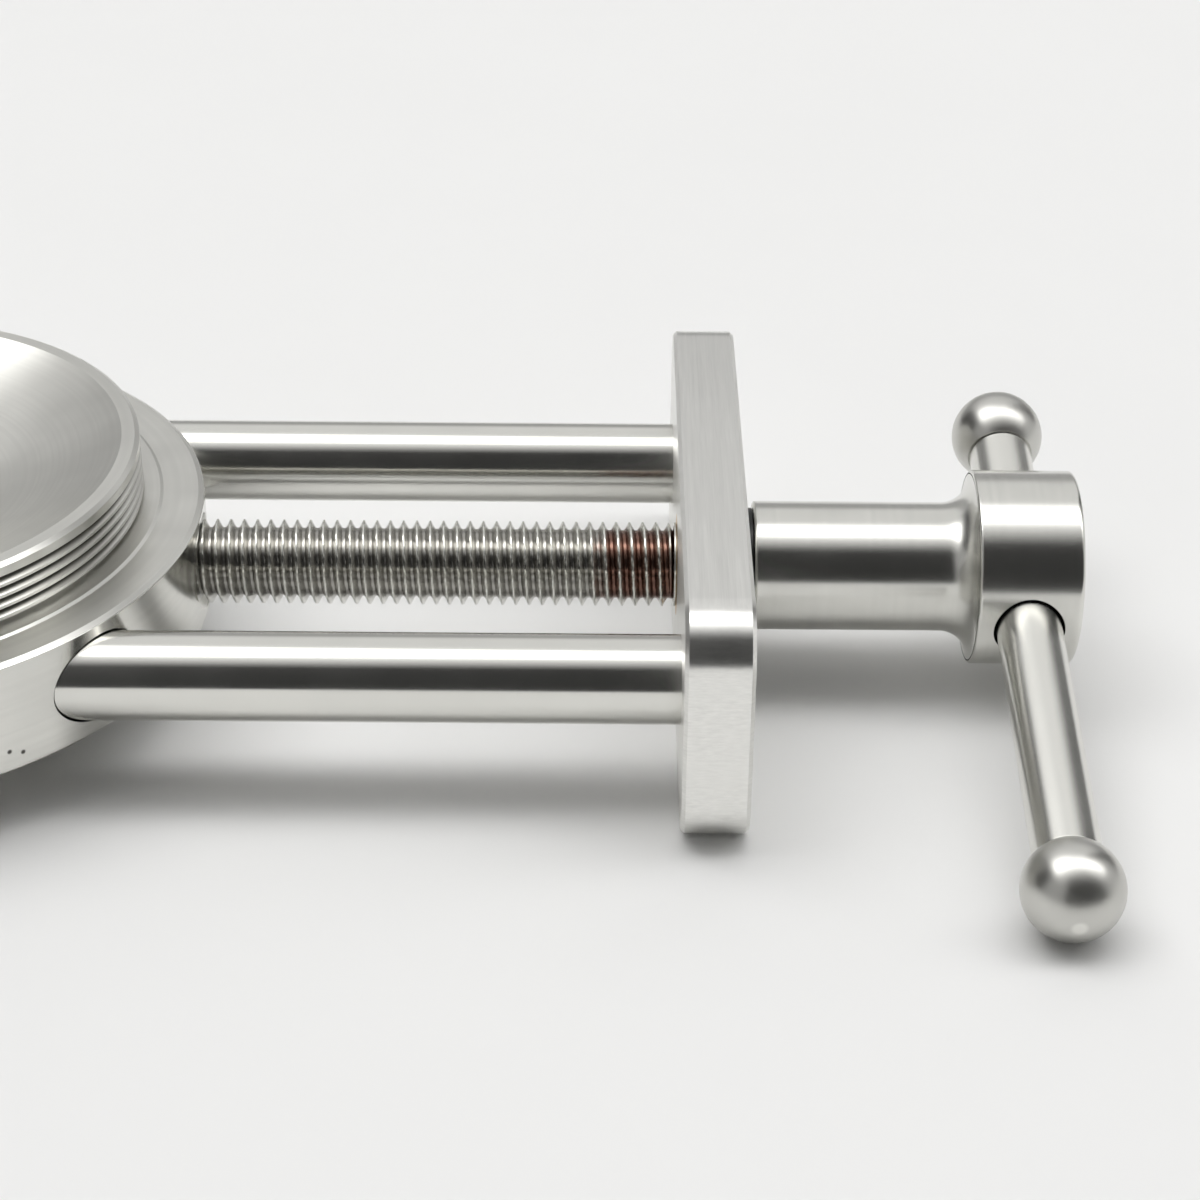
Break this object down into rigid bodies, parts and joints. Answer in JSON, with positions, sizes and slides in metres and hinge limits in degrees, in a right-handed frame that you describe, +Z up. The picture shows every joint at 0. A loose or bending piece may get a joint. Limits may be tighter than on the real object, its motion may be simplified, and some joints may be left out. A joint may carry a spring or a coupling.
{
  "type": "lens repair vise",
  "caption": "Screw-driven vise with two grooved half-disc jaws on guide rods that spread inside a lens filter ring, turned by a sliding tommy bar with ball ends.",
  "frame": {"origin": "centre of the ring seat: on the axis of the closed jaws' circle, at the flange's top face", "axes": "+X along the guide rods towards the handle, +Y to the rear, +Z up along the ring's axis"},
  "size_m": [0.1595, 0.0792, 0.0232],
  "materials": {
    "plate_steel": "fine milled stainless steel",
    "jaw_steel": "turned stainless steel",
    "rod_steel": "ground stainless steel",
    "thread_steel": "rolled thread, copper grease near the end plate",
    "hub_steel": "fine turned stainless steel",
    "bar_steel": "polished stainless steel",
    "ball_steel": "satin polished stainless steel",
    "fastener_steel": "plain stainless steel",
    "washer_steel": "blackened steel",
    "bush_bronze": "bored bronze"
  },
  "bodies": {
    "frame": {"end_plate": "plate_steel", "tail_plate": "plate_steel", "guide_rod_front": "rod_steel", "guide_rod_rear": "rod_steel", "end_screw_front": "fastener_steel", "end_screw_rear": "fastener_steel", "tail_screw_front": "fastener_steel", "tail_screw_rear": "fastener_steel", "fixed_jaw": "jaw_steel", "jaw_pin_front": "fastener_steel", "jaw_pin_rear": "fastener_steel", "screw_bush": "bush_bronze", "tip_bush": "bush_bronze"},
    "jaw": {"moving_jaw": "jaw_steel"},
    "spindle": {"lead_screw": "thread_steel", "thrust_washer": "washer_steel", "handle_hub": "hub_steel", "hub_set_screw": "washer_steel"},
    "handle": {"tommy_bar": "bar_steel", "ball_front": "ball_steel", "ball_rear": "ball_steel"}
  },
  "joints": [
    {"name": "screw_turn", "type": "hinge", "parent": "frame", "child": "spindle", "pos_m": [0.0814, 0, -0.0054], "axis": [-1, 0, 0], "range_deg": [0, 12600]},
    {"name": "jaw_slide", "type": "slide", "parent": "frame", "child": "jaw", "axis": [1, 0, 0], "range_m": [0, 0.044]},
    {"name": "bar_slide", "type": "slide", "parent": "spindle", "child": "handle", "axis": [0, -0.9854, -0.1705], "range_m": [-0.0287, 0.0075]}
  ],
  "couplings": [
    {"joint": "jaw_slide", "follows": "screw_turn", "m_per_rad": 0.00019894}
  ]
}
